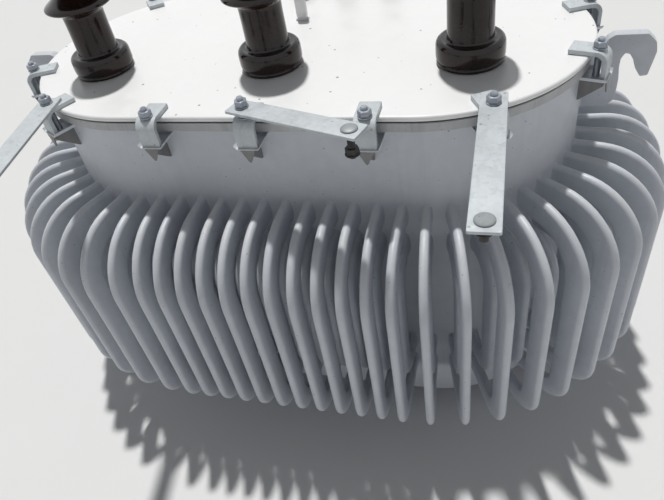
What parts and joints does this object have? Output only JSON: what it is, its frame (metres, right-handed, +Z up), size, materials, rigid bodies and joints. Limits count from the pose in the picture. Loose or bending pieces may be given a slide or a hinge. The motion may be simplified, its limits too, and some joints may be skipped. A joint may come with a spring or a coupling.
{
  "type": "power transformer",
  "caption": "Oil-filled distribution transformer with an oval tank, nested cooling tubes, clamped flat lid, brown bushings and flat mounting straps.",
  "frame": {"origin": "on the ground under the middle of the tank, on the underside of the middle base channel", "axes": "+Z up, +X along the tank's long axis, -Y towards the side with the tall bushings and the straps"},
  "size_m": [1.5726, 1.1192, 1.2696],
  "materials": {
    "tank_grey": "satin grey paint",
    "lid_grey": "satin pale grey paint",
    "galvanised": "dull galvanised steel",
    "zinc": "zinc plated steel",
    "porcelain": "glossy dark brown glaze",
    "brass": "dull brass",
    "rubber": "matt black rubber"
  },
  "bodies": {
    "root": {"base_cross": "tank_grey", "clamp_back_1": "galvanised", "clamp_back_2": "galvanised", "clamp_back_3": "galvanised", "clamp_front_1": "galvanised", "clamp_front_2": "galvanised", "clamp_left_1": "galvanised", "clamp_left_2": "galvanised", "clamp_right_1": "galvanised", "clamp_right_2": "galvanised", "clamp_strap_left": "galvanised", "clamp_strap_middle": "galvanised", "clamp_strap_right": "galvanised", "drain_valve": "brass", "filler_cap": "lid_grey", "gasket": "rubber", "hv_bushing_left": "porcelain", "hv_bushing_left_terminal": "brass", "hv_bushing_middle": "porcelain", "hv_bushing_middle_terminal": "brass", "hv_bushing_right": "porcelain", "hv_bushing_right_terminal": "brass", "lid": "lid_grey", "lid_lifting_bar": "lid_grey", "lifting_lug_left": "tank_grey", "lifting_lug_right": "tank_grey", "lv_bushing_1": "porcelain", "lv_bushing_1_terminal": "brass", "lv_bushing_2": "porcelain", "lv_bushing_2_terminal": "brass", "lv_bushing_3": "porcelain", "lv_bushing_3_terminal": "brass", "lv_bushing_4": "porcelain", "lv_bushing_4_terminal": "brass", "skid_back": "tank_grey", "skid_front": "tank_grey", "strap_left": "galvanised", "strap_left_bolt": "zinc", "strap_middle": "galvanised", "strap_middle_bolt": "zinc", "strap_right": "galvanised", "strap_right_bolt": "zinc", "tank_body": "tank_grey", "tube_bank_back": "tank_grey", "tube_bank_front": "tank_grey", "tube_bank_left": "tank_grey", "tube_bank_right": "tank_grey"}
  },
  "joints": []
}
